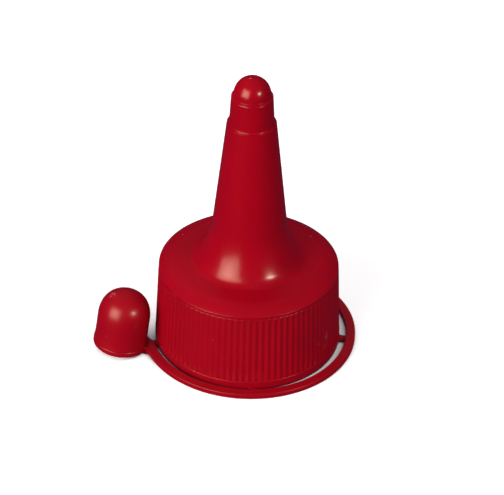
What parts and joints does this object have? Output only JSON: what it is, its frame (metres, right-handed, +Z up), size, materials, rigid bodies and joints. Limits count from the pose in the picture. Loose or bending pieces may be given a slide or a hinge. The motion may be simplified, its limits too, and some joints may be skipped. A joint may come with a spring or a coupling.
{
  "type": "bottle pour spout",
  "caption": "Screw-on conical pour spout for a squeeze bottle, with a ribbed skirt, a snip-off closed tip and a captive tip cap on a flexible tear-off strap.",
  "frame": {"origin": "on the closure's axis, in the plane that the skirt stands on", "axes": "+Z up along the spout, -X towards the tip cap lying on its strap"},
  "size_m": [0.0443, 0.0347, 0.0507],
  "materials": {
    "closure_red": "moulded satin gloss polyethylene",
    "strap_red": "moulded satin gloss polyethylene",
    "tip_cap_red": "moulded satin gloss polyethylene"
  },
  "bodies": {
    "closure": {"base_band": "closure_red", "skirt_shell": "closure_red", "grip_ribs": "closure_red", "shoulder_panel": "closure_red", "thread_ridge": "closure_red", "plug_seal": "closure_red", "spout_tube": "closure_red", "tip_seat": "closure_red", "snip_dome": "closure_red", "gate_vestige": "closure_red", "strap_anchor": "closure_red", "bridge_nibs": "closure_red"},
    "strap_1": {"strap_link_1": "strap_red"},
    "strap_2": {"strap_link_2": "strap_red"},
    "strap_3": {"strap_link_3": "strap_red"},
    "strap_4": {"strap_link_4": "strap_red"},
    "strap_5": {"strap_link_5": "strap_red"},
    "strap_6": {"strap_link_6": "strap_red"},
    "strap_7": {"strap_link_7": "strap_red"},
    "strap_8": {"strap_link_8": "strap_red"},
    "tip_cap": {"cap_shell": "tip_cap_red", "cap_rim": "tip_cap_red", "cap_snap_bead": "tip_cap_red", "strap_neck": "strap_red"}
  },
  "joints": [
    {"name": "strap_swing", "type": "hinge", "parent": "closure", "child": "strap_1", "pos_m": [0.00949, 0.01446, 0.00045], "axis": [-0.916, -0.2771, 0.2902], "range_deg": [0, 100.24]},
    {"name": "cap_press", "type": "hinge", "parent": "strap_1", "child": "strap_2", "pos_m": [0.01523, 0.0084, 0.00045], "axis": [-0.8912, 0.2836, 0.3541], "range_deg": [0, 33.75]},
    {"name": "strap_bend_2", "type": "hinge", "parent": "strap_2", "child": "strap_3", "pos_m": [0.01743, 0.00034, 0.00045], "axis": [0.1418, 0.5344, 0.8332], "range_deg": [0, 33.77]},
    {"name": "strap_bend_3", "type": "hinge", "parent": "strap_3", "child": "strap_4", "pos_m": [0.01555, -0.0078, 0.00045], "axis": [0.9906, -0.1366, 0.009], "range_deg": [0, 35.32]},
    {"name": "strap_bend_4", "type": "hinge", "parent": "strap_4", "child": "strap_5", "pos_m": [0.01005, -0.01409, 0.00045], "axis": [0.5005, -0.3952, 0.7703], "range_deg": [0, 45.22]},
    {"name": "strap_bend_5", "type": "hinge", "parent": "strap_5", "child": "strap_6", "pos_m": [0.00224, -0.01704, 0.00045], "axis": [-0.1777, -0.9359, 0.3043], "range_deg": [0, 41.82]},
    {"name": "strap_bend_6", "type": "hinge", "parent": "strap_6", "child": "strap_7", "pos_m": [-0.00604, -0.01594, 0.00045], "axis": [0.0347, -0.4078, 0.9124], "range_deg": [0, 35.89]},
    {"name": "strap_bend_7", "type": "hinge", "parent": "strap_7", "child": "strap_8", "pos_m": [-0.01282, -0.01107, 0.00045], "axis": [0.2276, 0.8875, 0.4007], "range_deg": [0, 32.62]},
    {"name": "strap_bend_8", "type": "hinge", "parent": "strap_8", "child": "tip_cap", "pos_m": [-0.01649, -0.00357, 0.00045], "axis": [0.0392, -0.9399, -0.3392], "range_deg": [0, 63.52]}
  ],
  "couplings": [
    {"joint": "strap_bend_2", "follows": "strap_swing", "ratio": 0.33679},
    {"joint": "strap_bend_3", "follows": "cap_press", "ratio": 1.0461},
    {"joint": "strap_bend_4", "follows": "strap_swing", "ratio": 0.45101},
    {"joint": "strap_bend_5", "follows": "cap_press", "ratio": 1.2387},
    {"joint": "strap_bend_6", "follows": "strap_swing", "ratio": 0.35794},
    {"joint": "strap_bend_7", "follows": "cap_press", "ratio": 0.96613},
    {"joint": "strap_bend_8", "follows": "strap_swing", "ratio": 0.63356}
  ]
}
